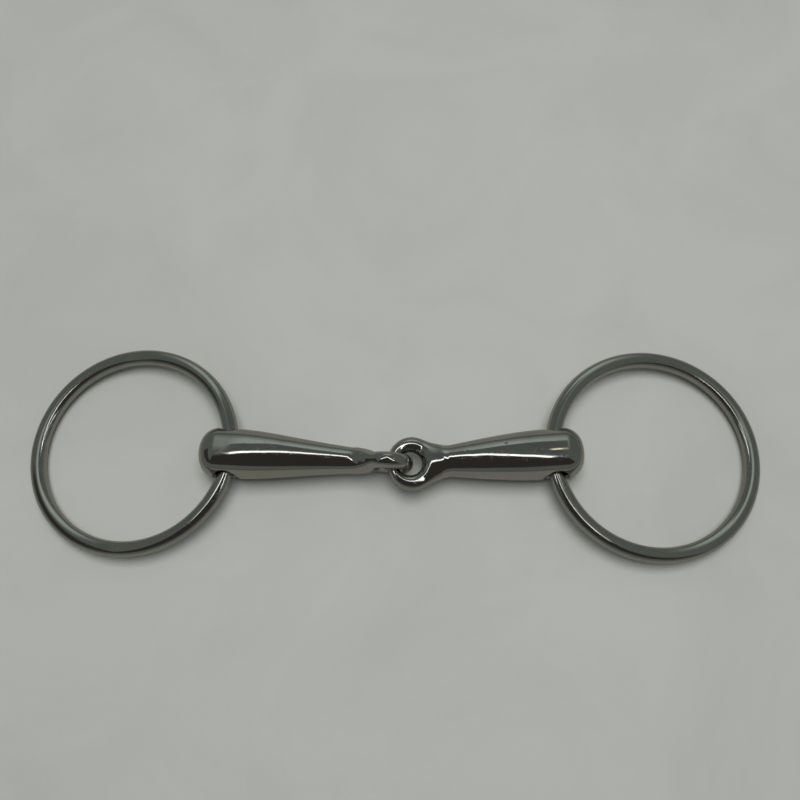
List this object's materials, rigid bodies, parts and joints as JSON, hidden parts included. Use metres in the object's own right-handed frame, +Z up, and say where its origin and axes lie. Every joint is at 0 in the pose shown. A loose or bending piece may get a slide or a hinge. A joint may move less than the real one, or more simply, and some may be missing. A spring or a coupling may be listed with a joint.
{
  "type": "snaffle bit",
  "caption": "Loose-ring snaffle bit: tapered mouthpiece halves linked eye to eye, with a round cheek ring running loose through each thick end.",
  "frame": {"origin": "on the resting surface, midway between the centres of the two cheek rings", "axes": "+X along the mouthpiece towards the right ring, +Y across it towards the side of the table that the halves sag away from, +Z up"},
  "size_m": [0.2586, 0.0778, 0.019],
  "materials": {
    "mouthpiece_steel": "mirror-polished stainless steel with fine scratches and small nicks",
    "ring_steel": "mirror-polished stainless steel, rubbed along the wire"
  },
  "bodies": {
    "left_mouthpiece": {"left_mouthpiece": "mouthpiece_steel"},
    "right_mouthpiece": {"right_mouthpiece": "mouthpiece_steel"},
    "left_ring": {"left_ring": "ring_steel"},
    "right_ring": {"right_ring": "ring_steel"}
  },
  "joints": [
    {"name": "mouthpiece_joint", "type": "hinge", "parent": "left_mouthpiece", "child": "right_mouthpiece", "pos_m": [0.00685, -0.00517, 0.00962], "axis": [0, 0, 1], "range_deg": [-115, 110]},
    {"name": "left_ring_swing", "type": "hinge", "parent": "left_mouthpiece", "child": "left_ring", "pos_m": [-0.05673, -0.00239, 0.0088], "axis": [0.0436, 0.999, 0], "range_deg": [-100, 100]},
    {"name": "right_ring_swing", "type": "hinge", "parent": "right_mouthpiece", "child": "right_ring", "pos_m": [0.05672, -0.00045, 0.0088], "axis": [-0.0941, 0.9956, 0], "range_deg": [-100, 100]}
  ]
}
